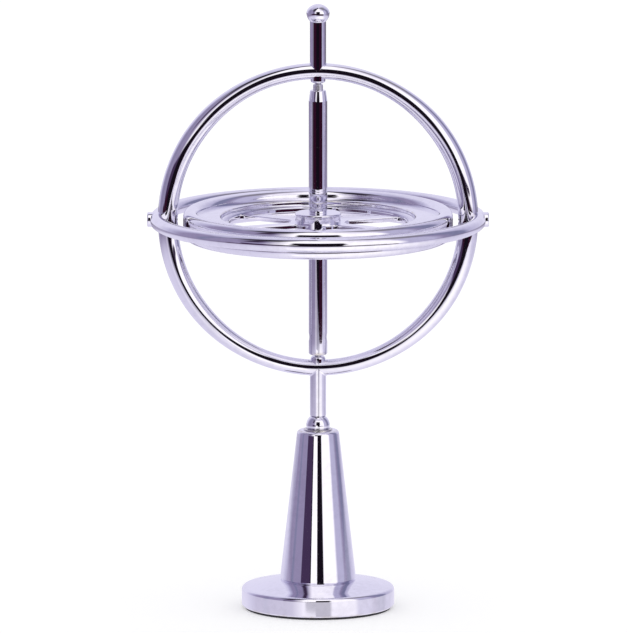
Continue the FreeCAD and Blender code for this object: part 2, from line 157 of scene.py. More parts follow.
def noise(tree, place, scale, detail, **more):
    return add(tree, "TexNoise", {"Vector": place, "Scale": scale, "Detail": detail,
                                  **more}).outputs["Fac"]


def step_up(tree, value, low, high, kind="LINEAR"):
    """Zero up to the low limit, one from the high limit on, and a slope between."""
    return add(tree, "MapRange", {"Value": value, "From Min": low, "From Max": high},
               interpolation_type=kind).outputs[0]


def past(tree, value, limit, soft):
    """One where the value is over the limit, zero under it, and a soft step between."""
    return step_up(tree, maths(tree, "SUBTRACT", value, limit), -soft / 2, soft / 2, "SMOOTHSTEP")


def bands(tree, position, stops):
    """Colours that melt into each other: each stop is a place from 0 to 1 and its colour."""
    node = add(tree, "ValToRGB", {0: position})
    ramp = node.color_ramp.elements
    for index, (place, colour) in enumerate(stops):
        stop = ramp[index] if index < 2 else ramp.new(place)
        stop.position, stop.color = place, colour
    return node.outputs[0]


def new_material(name):
    material = bpy.data.materials.new(name)
    material.use_nodes = True
    return material, material.node_tree, material.node_tree.nodes["Principled BSDF"].inputs


ROOM_GAIN = 1.15


def screen(red, green, blue, gain=ROOM_GAIN):
    """A colour as a screen shows it, 0 to 255, turned into linear light."""
    linear = [((c / 255 + 0.055) / 1.055) ** 2.4 if c > 10 else c / 255 / 12.92
              for c in (red, green, blue)]
    return (*[gain * c for c in linear], 1.0)


print("node helpers ready")

# %% [markdown]
# ## The studio
# A chrome toy on a white sweep needs dark things to reflect, or it would vanish. Here the room is
# drawn in the world shader by direction, in degrees: to the right of the camera, and above the
# horizon. Three belts of wall go all round, one above another: what lies past the table, the walls
# at eye level and the walls high up. The upper two are white near the camera and lavender to grey
# further round. Dark patches are laid over them, one on top of another. Each has a left and a
# right limit, and a lower and an upper limit that may slope, because the floor and the backdrop
# don't stand square to the camera. Only reflections see the room. The camera and the diffuse
# light see an even white, which is the plain soft light of the set.

# %% Studio colours
WHITE = screen(255, 252, 255, 1.22)
PALE = screen(217, 214, 234)
LAVENDER = screen(182, 178, 206)
DUSK = screen(144, 135, 166)
SLATE = screen(124, 124, 154)
SHADE_GREY = screen(116, 110, 126)
HIGH_PALE = screen(226, 220, 236)
HIGH_GREY = screen(128, 124, 136)
CEILING_DARK = screen(46, 42, 52)
PURPLE_LINE = screen(58, 46, 68)
PLUM = screen(64, 48, 78)
MAROON = screen(44, 14, 34)
BLACK = screen(20, 14, 24)

PAST_TABLE = [(-180, SHADE_GREY), (-156, SHADE_GREY), (-136, DUSK), (-92, DUSK), (-70, SHADE_GREY),
              (64, LAVENDER), (100, DUSK), (124, SHADE_GREY), (180, SHADE_GREY)]
WALLS = [(-180, PALE), (-140, PALE), (-122, LAVENDER), (-108, DUSK), (-94, DUSK), (-87, SLATE),
         (-79, DUSK), (-40, DUSK), (-21, WHITE), (58, WHITE), (65, LAVENDER), (86, LAVENDER),
         (96, DUSK), (106, SLATE), (119, SLATE), (127, LAVENDER), (160, PALE), (180, PALE)]
UPPER_WALLS = [(-180, PALE), (-100, LAVENDER), (-60, HIGH_GREY), (-26, WHITE), (20, WHITE),
               (60, HIGH_PALE), (90, HIGH_GREY), (120, HIGH_GREY), (150, PALE), (180, PALE)]
# Where the walls and the upper walls begin, and how soft each of these two lines is.
WALLS_FROM, UPPER_WALLS_FROM = (-6.0, 4.0), (48.0, 14.0)

# Each patch: what it is, colour, left and right, lower limit at the left and at the right, upper
# limit at the left and at the right, and how soft its edges are.
PATCHES = [
    ("dark ceiling, left", CEILING_DARK, (-88, -34), (50, 50), (84, 84), 16),
    ("dark stand under it", PURPLE_LINE, (-58, -42), (24, 26), (56, 50), 10),
    ("unlit floor, far left", MAROON, (-66, -49), (-89, -89), (-4, -4), 2.5),
    ("open door, left", PLUM, (-54, -23), (-6, -6), (9, 5), 3),
    ("unlit floor, door", MAROON, (-50, -21), (-89, -89), (-3, -3), 2.5),
    ("unlit floor, left", MAROON, (-22, 1), (-89, -89), (-1, -4), 2.5),
    ("unlit floor, right", MAROON, (0, 57), (-89, -89), (-4.5, -6.5), 2.0),
    ("backdrop's foot", PURPLE_LINE, (6, 48), (-7, -2), (-3, 0.5), 1.6),
    ("foot of the camera's stand", BLACK, (-25, 3), (-12, -12), (4, 5), 2),
    ("leg of the camera's stand", BLACK, (-3, 17), (-12, -12), (6, 6), 2.5),
    ("camera's stand", BLACK, (-14, 17), (-12, -12), (14, 14), 4),
    ("camera and its cloth", BLACK, (-19, 20), (7, 7), (38, 38), 5),
    ("dark hole overhead", CEILING_DARK, (-179, 20), (82, 82), (91, 91), 6),
]
print(len(PATCHES), "patches in the room")


# %% Studio: the room in the reflections
def sloping_limit(tree, aside, span, limits):
    """A height in degrees that changes evenly from the patch's left to its right."""
    slope = (limits[1] - limits[0]) / (span[1] - span[0])
    return maths(tree, "MULTIPLY_ADD", aside, slope, limits[0] - slope * span[0])


def between(tree, value, limits, soft):
    return maths(tree, "SUBTRACT", *[past(tree, value, limit, soft) for limit in limits])


def patch_mask(tree, aside, height, span, low, high, soft):
    inside = between(tree, aside, span, soft)
    limits = [sloping_limit(tree, aside, span, line) for line in (low, high)]
    return maths(tree, "MULTIPLY", inside, between(tree, height, limits, soft), clamp=True)


def studio_world():
    world = bpy.data.worlds.new("studio")
    world.use_nodes = True
    tree = world.node_tree
    tree.nodes.clear()
    direction = add(tree, "TexCoord").outputs["Generated"]
    parts = add(tree, "SeparateXYZ", {0: direction}).outputs
    turned = maths(tree, "ARCTAN2", parts["X"], maths(tree, "MULTIPLY", parts["Y"], -1.0))
    aside = maths(tree, "DEGREES", turned)
    height = maths(tree, "DEGREES", maths(tree, "ARCSINE", parts["Z"]))
    place = maths(tree, "MULTIPLY_ADD", aside, 1 / 360.0, 0.5)
    room, walls, upper_walls = [
        bands(tree, place, [((angle + 180.0) / 360.0, colour) for angle, colour in belt])
        for belt in (PAST_TABLE, WALLS, UPPER_WALLS)]
    room = blend_colours(tree, past(tree, height, *WALLS_FROM), room, walls)
    room = blend_colours(tree, past(tree, height, *UPPER_WALLS_FROM), room, upper_walls)
    for name, colour, span, low, high, soft in PATCHES:
        room = blend_colours(tree, patch_mask(tree, aside, height, span, low, high, soft), room, colour)
    reflected = add(tree, "LightPath").outputs["Is Glossy Ray"]
    plain = add(tree, "Background", {"Color": (1, 1, 1, 1), "Strength": 1.0}).outputs[0]
    seen = add(tree, "Background", {"Color": room, "Strength": 1.0}).outputs[0]
    mixed = add(tree, "MixShader", {0: reflected, 1: plain, 2: seen}).outputs[0]
    add(tree, "OutputWorld", {"Surface": mixed})
    bpy.context.scene.world = world
    return world


print("room", studio_world().name)

# %% [markdown]
# ## The floor, and what only the metal sees
# The camera sees a wide, plain, nearly white floor. The metal sees a smaller glossy table instead,
# whose front edge is about a third of a metre away and runs askew. Beyond that edge the
# reflections turn dark, and that is why the spindle carries a dark stripe and the neck below the
# rings carries none. The table is brightest in front of the toy and gets dim far from it. A white
# card as small as a stamp is held up close in front of the column, a little to its left, and so
# low that only the column sees it: it splits the column's dark band in two, while the rings above
# keep one broad dark line.

# %% Sheets
FLOOR_HALF = 6000.0
FLOOR_COLOUR, FLOOR_GLOW = (0.75, 0.75, 0.76, 1), 0.3
TABLE_HALF = 430.0
LEFT_CUT, RIGHT_CUT = -150.0, -20.0
FRONT_EDGE = [(-230.0, -420.0, 0.0), (0.0, -345.0, 0.0), (180.0, -246.0, 0.0)]
BRIGHT_PLACE, BRIGHT_TO, BRIGHT_REACH = Vector((70.0, -130.0, 0.0)), 0.2 * 190.0, 190.0
LIT_PLACE, LIT_TO, LIT_REACH = Vector((60.0, -40.0, 0.0)), 230.0, 400.0
TABLE_DIM, TABLE_LIT = screen(134, 124, 152), screen(214, 210, 230)
TABLE_ROUGHNESS, LACQUER_IOR = 0.1, 1.45
CARD_SIDES, CARD_AWAY, CARD_LOW, CARD_HIGH = (-23.0, -3.0), -60.0, 7.0, 38.0

floor_corners = [(x * FLOOR_HALF, y * FLOOR_HALF, 0) for x, y in ((-1, -1), (1, -1), (1, 1), (-1, 1))]
table_corners = [(-TABLE_HALF, LEFT_CUT, 0), *FRONT_EDGE, (TABLE_HALF, RIGHT_CUT, 0),
                 (TABLE_HALF, TABLE_HALF, 0), (-TABLE_HALF, TABLE_HALF, 0)]
card_corners = [(x, CARD_AWAY, CARD_LOW) for x in CARD_SIDES]
card_corners += [(x, CARD_AWAY, CARD_HIGH) for x in reversed(CARD_SIDES)]


def new_object(name, bm):
    """An object of a finished bmesh, linked to the scene."""
    mesh = bpy.data.meshes.new(name)
    bm.to_mesh(mesh)
    bm.free()
    thing = bpy.data.objects.new(name, mesh)
    bpy.context.scene.collection.objects.link(thing)
    return thing


def sheet_through(name, corners, material):
    bm = bmesh.new()
    bm.faces.new([bm.verts.new(Vector(corner) * MM) for corner in corners])
    sheet = new_object(name, bm)
    sheet.data.materials.append(material)
    return sheet


print("table with", len(table_corners), "corners")


# %% Floor, table and card
def floor_finish():
    material, tree, shader = new_material("white_floor")
    fill(tree, shader, {"Base Color": FLOOR_COLOUR, "Roughness": 0.9, "Specular IOR Level": 0.0,
                        "Emission Color": (1, 1, 1, 1), "Emission Strength": FLOOR_GLOW})
    return material


def fading_out(tree, place, middle, full, none):
    """One within a first distance of a place, and zero past a second one."""
    away = add(tree, "VectorMath", {0: place, 1: middle * MM}, operation="DISTANCE").outputs["Value"]
    return step_up(tree, away, none * MM, full * MM, "SMOOTHSTEP")


def glowing(name, wire):
    """A material that wire() gives its shader, in an empty node tree."""
    material, tree, _ = new_material(name)
    tree.nodes.clear()
    add(tree, "OutputMaterial", {"Surface": wire(tree)})
    return material


def table_shader(tree):
    place = add(tree, "TexCoord").outputs["Object"]
    bright = fading_out(tree, place, BRIGHT_PLACE, BRIGHT_TO, BRIGHT_REACH)
    lit = fading_out(tree, place, LIT_PLACE, LIT_TO, LIT_REACH)
    shade = blend_colours(tree, lit, TABLE_DIM, TABLE_LIT)
    shade = blend_colours(tree, bright, shade, WHITE)
    glow = add(tree, "Emission", {"Color": shade}).outputs[0]
    gloss = add(tree, "BsdfGlossy", {"Color": (1, 1, 1, 1), "Roughness": TABLE_ROUGHNESS}).outputs[0]
    sheen = add(tree, "Fresnel", {"IOR": LACQUER_IOR}).outputs[0]
    return add(tree, "MixShader", {0: sheen, 1: glow, 2: gloss}).outputs[0]


def card_shader(tree):
    return add(tree, "Emission", {"Color": WHITE}).outputs[0]


floor = sheet_through("floor", floor_corners, floor_finish())
floor.visible_glossy = False
table = sheet_through("table_in_reflections", table_corners, glowing("glossy_table", table_shader))
card = sheet_through("white_card_in_reflections", card_corners, glowing("white_card", card_shader))
for sheet in (table, card):
    sheet.visible_camera = sheet.visible_diffuse = sheet.visible_shadow = False
print("floor, table and card placed, the edge", -FRONT_EDGE[1][1], "mm in front")

# %% [markdown]
# ## Effects that several finishes share
# Plated metal is never perfect. Die-cast parts keep a slow ripple under the plating, cloths leave
# hairlines, fingers leave a faint haze, and the lathe leaves rings. Each effect is one node group
# with named inputs, and each finish uses it with its own values. Heights are in millimetres.

# %% Group helpers
def new_group(name, inputs, outputs):
    group = bpy.data.node_groups.new(name, "ShaderNodeTree")
    for label, value in inputs.items():
        socket = group.interface.new_socket(label, in_out="INPUT", socket_type="NodeSocketFloat")
        socket.default_value = value
    for label in outputs:
        group.interface.new_socket(label, in_out="OUTPUT", socket_type="NodeSocketFloat")
    start = group.nodes.new("NodeGroupInput").outputs
    end = group.nodes.new("NodeGroupOutput").inputs
    place = add(group, "TexCoord").outputs["Object"]
    print("group", name)
    return group, start, end, place


def from_axis(group, place):
    """A point's distance from the upright axis, and its height."""
    parts = add(group, "SeparateXYZ", {0: place}).outputs
    flat_place = add(group, "CombineXYZ", {"X": parts["X"], "Y": parts["Y"]}).outputs[0]
    distance = add(group, "VectorMath", {0: flat_place}, operation="LENGTH").outputs["Value"]
    return distance, parts["Z"]


print("group helpers ready")


# %% [markdown]
# ### Ripple under the plating
# A reflection in a casting bends a little, in waves a few millimetres long. Slow noise as bump
# height does that, and its depth is only a few thousandths of a millimetre.

# %% Ripple
def make_ripple():
    group, start, end, place = new_group("plating_ripple", {"Per metre": 150.0, "Depth": 0.004},
                                         ["Height"])
    waves = noise(group, place, start["Per metre"], 1.0, Roughness=0.4)
    fill(group, end, {"Height": maths(group, "MULTIPLY", waves, start["Depth"])})
    return group


RIPPLE = make_ripple()

# %% [markdown]
# ### Hairlines
# Wiping a chromed part leaves fine straight scratches in a few directions. Noise that is squeezed
# hard along two axes gives long thin streaks, and only its peaks are kept. Three copies, each
# turned another way, are enough to look random.

# %% Hairlines
ACROSS, ALONG = 2500, 90
STREAKS = (((0.3, 0.2, 0.5), (ACROSS, ALONG, ACROSS)), ((1.1, 0.7, 2.1), (ALONG, ACROSS, ACROSS)),
           ((2.0, 1.4, 0.9), (ACROSS, ACROSS, ALONG)))


def make_hairlines():
    group, start, end, place = new_group("hairlines", {"Depth": 0.0004, "Amount": 0.3},
                                         ["Height", "Mask"])
    total = None
    for turned, squeeze in STREAKS:
        streaked = add(group, "Mapping", {"Vector": place, "Rotation": turned, "Scale": squeeze})
        peaks = step_up(group, noise(group, streaked.outputs[0], 1.0, 0.0), 0.68, 0.78)
        total = peaks if total is None else maths(group, "MAXIMUM", total, peaks)
    mask = maths(group, "MULTIPLY", total, start["Amount"])
    depth = maths(group, "MULTIPLY", mask, start["Depth"])
    fill(group, end, {"Mask": mask, "Height": maths(group, "MULTIPLY", depth, -1.0)})
    return group


HAIRLINES = make_hairlines()

# %% [markdown]
# ### Haze
# Touching and wiping leave patches that are a little less sharp. Two sizes of noise, multiplied,
# give soft islands, and they only move the roughness between two near values.

# %% Haze
def make_haze():
    group, start, end, place = new_group("handling_haze", {"Clean": 0.03, "Touched": 0.08},
                                         ["Roughness", "Mask"])
    both = maths(group, "MULTIPLY", noise(group, place, 90.0, 2.0), noise(group, place, 900.0, 3.0))
    mask = step_up(group, both, 0.2, 0.36)
    span = maths(group, "SUBTRACT", start["Touched"], start["Clean"])
    rough = maths(group, "ADD", maths(group, "MULTIPLY", mask, span), start["Clean"])
    fill(group, end, {"Mask": mask, "Roughness": rough})
    return group


HAZE = make_haze()

# %% [markdown]
# ### Rings from the lathe
# A turned face carries fine concentric rings. Noise along one number, the distance from the
# upright axis, makes rings of uneven depth, as a hand-fed tool does. On a cylinder that distance
# hardly changes, so the height above the table is added to it.

# %% Lathe rings
def make_lathe_rings():
    group, start, end, place = new_group("lathe_rings", {"Per metre": 9000.0, "Depth": 0.0006},
                                         ["Height"])
    both = maths(group, "ADD", *from_axis(group, place))
    along = maths(group, "MULTIPLY", both, start["Per metre"])
    rings = add(group, "TexNoise", {"W": along, "Scale": 1.0, "Detail": 2.0},
                noise_dimensions="1D").outputs["Fac"]
    fill(group, end, {"Height": maths(group, "MULTIPLY", rings, start["Depth"])})
    return group


LATHE_RINGS = make_lathe_rings()

# %% [markdown]
# ### A rubbed edge
# The edges that hands and the box touch lose a little plating, and the layer under chrome is
# nickel, which is warmer. A turned edge is a circle, so it has a radius and a height, and the mask
# is one on that circle and fades to zero within a given reach. Noise breaks it up.

# %% Rubbed edge
def make_rubbed_edge():
    group, start, end, place = new_group("rubbed_edge", {"Radius": 0.0145, "Height": 0.004,
                                                         "Reach": 0.0005}, ["Mask"])
    distance, height = from_axis(group, place)
    outwards = maths(group, "SUBTRACT", distance, start["Radius"])
    upwards = maths(group, "SUBTRACT", height, start["Height"])
    off = maths(group, "SQRT", maths(group, "ADD", maths(group, "MULTIPLY", outwards, outwards),
                                     maths(group, "MULTIPLY", upwards, upwards)))
    fade = maths(group, "SUBTRACT", 1.0, maths(group, "DIVIDE", off, start["Reach"]), clamp=True)
    broken = step_up(group, noise(group, place, 700.0, 4.0), 0.42, 0.6)
    fill(group, end, {"Mask": maths(group, "MULTIPLY", fade, broken)})
    return group


RUBBED_EDGE = make_rubbed_edge()

# %% [markdown]
# ## The finishes
# All the bright pieces have the same plating, a chrome with a faint lavender cast, but they differ
# under it. The stand and the rings are castings, so they ripple. The rotor is turned, so it has
# lathe rings. The pivots and the cup are bare hardened steel, which is greyer and less sharp.

# %% Metal finish
HAZE_TINT, HAIRLINE_ROUGHNESS, RUBBED_ROUGHNESS = 0.93, 0.1, 0.18
CHROME = (0.87, 0.86, 0.92, 1.0)
NICKEL = (0.70, 0.66, 0.60, 1.0)
STEEL = (0.60, 0.59, 0.61, 1.0)
GROUND_STEEL = (0.82, 0.81, 0.85, 1.0)
SHOULDER_EDGE = 3.6


def metal(name, colour, clean, touched, ripple, hairline, rings=0.0, rubbed=None):
    """A polished metal: its roughness where clean and where touched, the depths of its ripple,
    hairlines and lathe rings in millimetres, and the radius, height and reach of a rubbed edge."""
    def effect(group, **inputs):
        return add(tree, "Group", inputs, node_tree=group).outputs

    material, tree, shader = new_material(name)
    haze = effect(HAZE, Clean=clean, Touched=touched)
    lines = effect(HAIRLINES, Depth=hairline)
    height = maths(tree, "ADD", lines["Height"], effect(RIPPLE, Depth=ripple)["Height"])
    if rings:
        height = maths(tree, "ADD", height, effect(LATHE_RINGS, Depth=rings)["Height"])
    rough = maths(tree, "ADD", haze["Roughness"],
                  maths(tree, "MULTIPLY", lines["Mask"], HAIRLINE_ROUGHNESS))
    dulled = tuple(HAZE_TINT * c for c in colour[:3]) + (1.0,)
    tint = blend_colours(tree, haze["Mask"], colour, dulled)
    if rubbed:
        radius, edge_height, reach = [size * MM for size in rubbed]
        worn = effect(RUBBED_EDGE, Radius=radius, Height=edge_height, Reach=reach)["Mask"]
        tint = blend_colours(tree, worn, tint, NICKEL)
        rough = maths(tree, "ADD", rough, maths(tree, "MULTIPLY", worn, RUBBED_ROUGHNESS))
    bump = add(tree, "Bump", {"Height": height, "Distance": MM, "Strength": 1.0}).outputs[0]
    fill(tree, shader, {"Metallic": 1.0, "Base Color": tint, "Roughness": rough, "Normal": bump})
    print("finish", name)
    return material


stand_chrome = metal("stand_chrome", CHROME, 0.02, 0.045, 0.003, 0.0003,
                     rubbed=(SHOULDER_EDGE, COLUMN_TOP, 0.45))
foot_chrome = metal("foot_chrome", CHROME, 0.025, 0.055, 0.002, 0.0003,
                    rubbed=(FOOT_RADIUS - 0.1, FOOT_BOTTOM, 0.5))
ring_chrome = metal("ring_chrome", CHROME, 0.02, 0.045, 0.004, 0.0003)
turned_chrome = metal("turned_chrome", CHROME, 0.02, 0.045, 0.001, 0.0003, rings=0.0001,
                      rubbed=(SPINDLE_RADIUS, SPINDLE_BOTTOM + 0.2, 0.6))
wheel_chrome = metal("wheel_chrome", CHROME, 0.03, 0.06, 0.004, 0.0004, rings=0.0003,
                     rubbed=(RECESS_RADIUS + 0.1, PLATE_TOP - 0.1, 0.3))
hard_steel = metal("hard_steel", STEEL, 0.16, 0.26, 0.0, 0.0006, rings=0.0012,
                   rubbed=(CUP_RADIUS, CUP_LIP, 0.3))
ground_steel = metal("ground_steel", GROUND_STEEL, 0.30, 0.40, 0.0, 0.0004, rings=0.0005)

# %% [markdown]
# ### The rubber pad
# The pad under the foot is thin sheet rubber. It needs no colour pattern, only a fine pebbled
# skin and a slight dusting that turns its black a little grey.

# %% Rubber
RUBBER_BLACK, RUBBER_DUSTY = (0.010, 0.010, 0.012, 1.0), (0.030, 0.030, 0.034, 1.0)
PEBBLE_DEPTH = 0.02


def rubber():
    material, tree, shader = new_material("pebbled_rubber")
    place = add(tree, "TexCoord").outputs["Object"]
    pebbles = add(tree, "TexVoronoi", {"Vector": place, "Scale": 4000.0}).outputs["Distance"]
    dust = noise(tree, place, 260.0, 4.0)
    bump = add(tree, "Bump", {"Height": pebbles, "Distance": PEBBLE_DEPTH * MM}).outputs[0]
    fill(tree, shader, {"Base Color": blend_colours(tree, dust, RUBBER_BLACK, RUBBER_DUSTY),
                        "Roughness": maths(tree, "ADD", 0.7, maths(tree, "MULTIPLY", dust, 0.25)),
                        "Normal": bump})
    return material


pad_rubber = rubber()
print("finish", pad_rubber.name)

# %% [markdown]
# ## Drawing and turning a piece
# Nearly everything here comes off a lathe. A turned piece is half of its section, spun about the
# upright axis. The half section is drawn with a pen that knows two moves: a line to a point, and
# an arc about a centre. The arc is itself a small spin of the pen's last point.

# %% The pen and the lathe
ARC_STEP = 6.0
WHEEL_STEPS, FOOT_STEPS, TURN_STEPS = 360, 288, 240
SMALL_STEPS, BUSH_STEPS, PIVOT_STEPS, DRILL_STEPS = 144, 96, 72, 40
SAME_POINT = 1e-4


def everything(bm):
    return bm.verts[:] + bm.edges[:] + bm.faces[:]


def weld(bm, distance=SAME_POINT):
    bmesh.ops.remove_doubles(bm, verts=bm.verts, dist=distance)


def lift(bm, height):
    bmesh.ops.translate(bm, verts=bm.verts, vec=(0, 0, height))


def rotate(bm, verts, angle, axis="Z"):
    bmesh.ops.rotate(bm, verts=verts, cent=(0, 0, 0), matrix=Matrix.Rotation(angle, 3, axis))


def turned_copy(bm, geom, angle):
    """Copies a part of the mesh and turns the copy about the upright axis."""
    copy = bmesh.ops.duplicate(bm, geom=geom)["geom"]
    rotate(bm, [g for g in copy if isinstance(g, bmesh.types.BMVert)], angle)


def swing(bm, tip, centre, angle, steps, axis=(0, 0, 1)):
    """Moves the pen's tip along an arc about a centre and gives the new tip."""
    made = bmesh.ops.spin(bm, geom=[tip], cent=centre, axis=axis, angle=radians(angle), steps=steps)
    return made["geom_last"][0]


def draw(start, *moves):
    """Half section in a new bmesh, drawn from a start point.

    A move (radius, height) is a line to that point. A move (radius, height, degrees) is an arc
    about that centre, and positive degrees go clockwise as the camera sees it.
    """
    bm = bmesh.new()
    tip = bm.verts.new((start[0], 0, start[1]))
    for radius, height, *arc in moves:
        if arc:
            steps = max(4, round(abs(arc[0]) / ARC_STEP))
            tip = swing(bm, tip, (radius, 0, height), arc[0], steps, (0, 1, 0))
        else:
            corner = bm.verts.new((radius, 0, height))
            bm.edges.new((tip, corner))
            tip = corner
    return bm


def round_below(radius, low, edge):
    """Moves out along an underside and round its edge."""
    return (radius - edge, low), (radius - edge, low + edge, -90)


def round_above(radius, high, edge):
    """Moves up a wall and round its upper edge."""
    return (radius, high - edge), (radius - edge, high - edge, -90)


def spin_round(bm, centre, axis, steps):
    bmesh.ops.spin(bm, geom=everything(bm), cent=centre, axis=axis, angle=2 * pi,
                   steps=steps, use_merge=True)


def turn(bm, steps=TURN_STEPS):
    spin_round(bm, (0, 0, 0), (0, 0, 1), steps)
    weld(bm)
    return bm


print("pen and lathe ready")

# %% [markdown]
# ## Finishing a piece
# Every piece ends the same way: its faces point outwards, flats stay crisp because edges over a
# set angle are marked sharp, and the Weighted Normal modifier lets the large faces set the
# shading, so a small rounding doesn't smear a reflection across the flat beside it. Then the piece
# rides on its CAD body and stands for its CAD piece, which is hidden.

# %% Finishing
SHARP_ANGLE = radians(32.0)


def finish_piece(name, bm, material, body, slot, *nodes):
    bmesh.ops.recalc_face_normals(bm, faces=bm.faces)
    for face in bm.faces:
        face.smooth = True
    for edge in bm.edges:
        edge.smooth = edge.calc_face_angle(0.0) < SHARP_ANGLE
    bmesh.ops.scale(bm, vec=(MM, MM, MM), verts=bm.verts)
    piece = new_object(name, bm)
    piece.data.materials.append(material)
    shading = piece.modifiers.new("even_shading", "WEIGHTED_NORMAL")
    shading.keep_sharp = True
    shading.weight = 70
    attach(piece, body)
    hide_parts(*nodes)
    print(name, len(piece.data.polygons), "faces")
    return piece


# %% [markdown]
# ## The foot and its pad
# The foot is a heavy disc with a straight wall, a rounded edge and a very low dome up to the
# column. The dome is an arc through three points, so its centre is worked out first. The pad is a
# disc of sheet with three grip grooves underneath, and its edge shows as a thin black line.

# %% Foot and pad
def arc_to(start, middle, end):
    """The pen's arc move from start through middle to end."""
    a, b, c = Vector(start), Vector(middle), Vector(end)
    d = 2 * (a.x * (b.y - c.y) + b.x * (c.y - a.y) + c.x * (a.y - b.y))
    x = (a.length_squared * (b.y - c.y) + b.length_squared * (c.y - a.y)
         + c.length_squared * (a.y - b.y)) / d
    y = (a.length_squared * (c.x - b.x) + b.length_squared * (a.x - c.x)
         + c.length_squared * (b.x - a.x)) / d
    centre = Vector((x, y))
    return centre.x, centre.y, degrees((a - centre).angle_signed(c - centre))


FOOT_EDGE_ROUND, FOOT_CHAMFER = 0.75, 0.25
DOME_RISE, DOME_BULGE = 1.35, 0.53
COLUMN_FOOT_RADIUS = 7.25
FOOT_WALL_TOP = COLUMN_FOOT - DOME_RISE - FOOT_EDGE_ROUND
dome_edge = (FOOT_RADIUS - FOOT_EDGE_ROUND, COLUMN_FOOT - DOME_RISE)
dome_top = (COLUMN_FOOT_RADIUS, COLUMN_FOOT)
dome_middle = ((dome_edge[0] + dome_top[0]) / 2, dome_edge[1] + DOME_BULGE * DOME_RISE)
foot_section = draw((0, FOOT_BOTTOM), (FOOT_RADIUS - FOOT_CHAMFER, FOOT_BOTTOM),
                    (FOOT_RADIUS, FOOT_BOTTOM + FOOT_CHAMFER), (FOOT_RADIUS, FOOT_WALL_TOP),
                    (dome_edge[0], FOOT_WALL_TOP, -90), arc_to(dome_edge, dome_middle, dome_top),
                    (0, COLUMN_FOOT))
finish_piece("foot_disc", turn(foot_section, FOOT_STEPS), foot_chrome, "stand", "stand_chrome",
             "base_disc")

GROOVES, GROOVE_WIDTH, GROOVE_DEPTH, GROOVE_BEVEL = (5.0, 8.5, 12.0), 0.6, 0.12, 0.1
PAD_EDGE = 0.08
groove_moves = []
for inner in GROOVES:
    outer = inner + GROOVE_WIDTH
    groove_moves += [(inner, PAD_BOTTOM), (inner + GROOVE_BEVEL, PAD_BOTTOM + GROOVE_DEPTH),
                     (outer - GROOVE_BEVEL, PAD_BOTTOM + GROOVE_DEPTH), (outer, PAD_BOTTOM)]
pad_section = draw((0, PAD_BOTTOM), *groove_moves, *round_below(PAD_RADIUS, PAD_BOTTOM, PAD_EDGE),
                   (PAD_RADIUS, PAD_TOP), (0, PAD_TOP))
finish_piece("foot_pad", turn(pad_section), pad_rubber, "stand", "pad_rubber", "base_pad")

# %% [markdown]
# ## The column and its cup
# The column is a plain cone, but its shoulder decides how it looks: the rounding gathers the whole
# room into one bright curl. The cup on top is pressed in, and only its thin lip and the hollow
# under the ball show.

# %% Column
SHOULDER_ROUND, SHOULDER_WIDTH = 0.7, 1.2
COLUMN_CHAMFER = 0.25
COLUMN_TOP_RADIUS = CUP_RADIUS + SHOULDER_WIDTH
CUP_FLANGE, PRESS_FIT = 0.3, 0.01
CUP_SPIGOT = CUP_RADIUS - CUP_FLANGE
column_slope = atan2(COLUMN_FOOT_RADIUS - COLUMN_TOP_RADIUS, COLUMN_TOP - COLUMN_FOOT)
shoulder_setback = SHOULDER_ROUND * tan((pi / 2 - column_slope) / 2)
shoulder_radius = COLUMN_TOP_RADIUS - shoulder_setback
cone_start = (COLUMN_FOOT_RADIUS - COLUMN_CHAMFER * tan(column_slope),
              COLUMN_FOOT + COLUMN_CHAMFER)
cone_end = (COLUMN_TOP_RADIUS + shoulder_setback * sin(column_slope),
            COLUMN_TOP - shoulder_setback * cos(column_slope))
column_section = draw((0, COLUMN_FOOT), (COLUMN_FOOT_RADIUS - COLUMN_CHAMFER, COLUMN_FOOT),
                      cone_start, cone_end,
                      (shoulder_radius, COLUMN_TOP - SHOULDER_ROUND,
                       -(90 - degrees(column_slope))),
                      (CUP_SPIGOT + PRESS_FIT, COLUMN_TOP), (CUP_SPIGOT + PRESS_FIT, CUP_BOTTOM),
                      (0, CUP_BOTTOM))
finish_piece("tapered_column", turn(column_section), stand_chrome, "stand", "stand_chrome", "column")

# %% Cup and ball
BALL_GAP, LIP_ROUND = 0.05, 0.08
PARTING_FLAT = 0.25
SEAT_RADIUS = BALL_RADIUS + BALL_GAP
seat_edge = degrees(acos((BALL_HEIGHT - CUP_LIP) / SEAT_RADIUS))
cup_section = draw((0, CUP_BOTTOM), (CUP_SPIGOT, CUP_BOTTOM), (CUP_SPIGOT, COLUMN_TOP),
                   (CUP_RADIUS, COLUMN_TOP), *round_above(CUP_RADIUS, CUP_LIP, LIP_ROUND),
                   (SEAT_RADIUS * sin(radians(seat_edge)), CUP_LIP),
                   (0, BALL_HEIGHT, seat_edge))
finish_piece("socket_cup", turn(cup_section, SMALL_STEPS), hard_steel, "stand", "hard_steel",
             "pivot_cup")


def ball(radius, height):
    """A turned ball with the small flat that the parting tool leaves at its top."""
    sweep = 180 - degrees(asin(PARTING_FLAT / radius))
    end = height + sqrt(radius ** 2 - PARTING_FLAT ** 2)
    return turn(draw((0, height - radius), (0, height, -sweep), (0, end)), SMALL_STEPS)


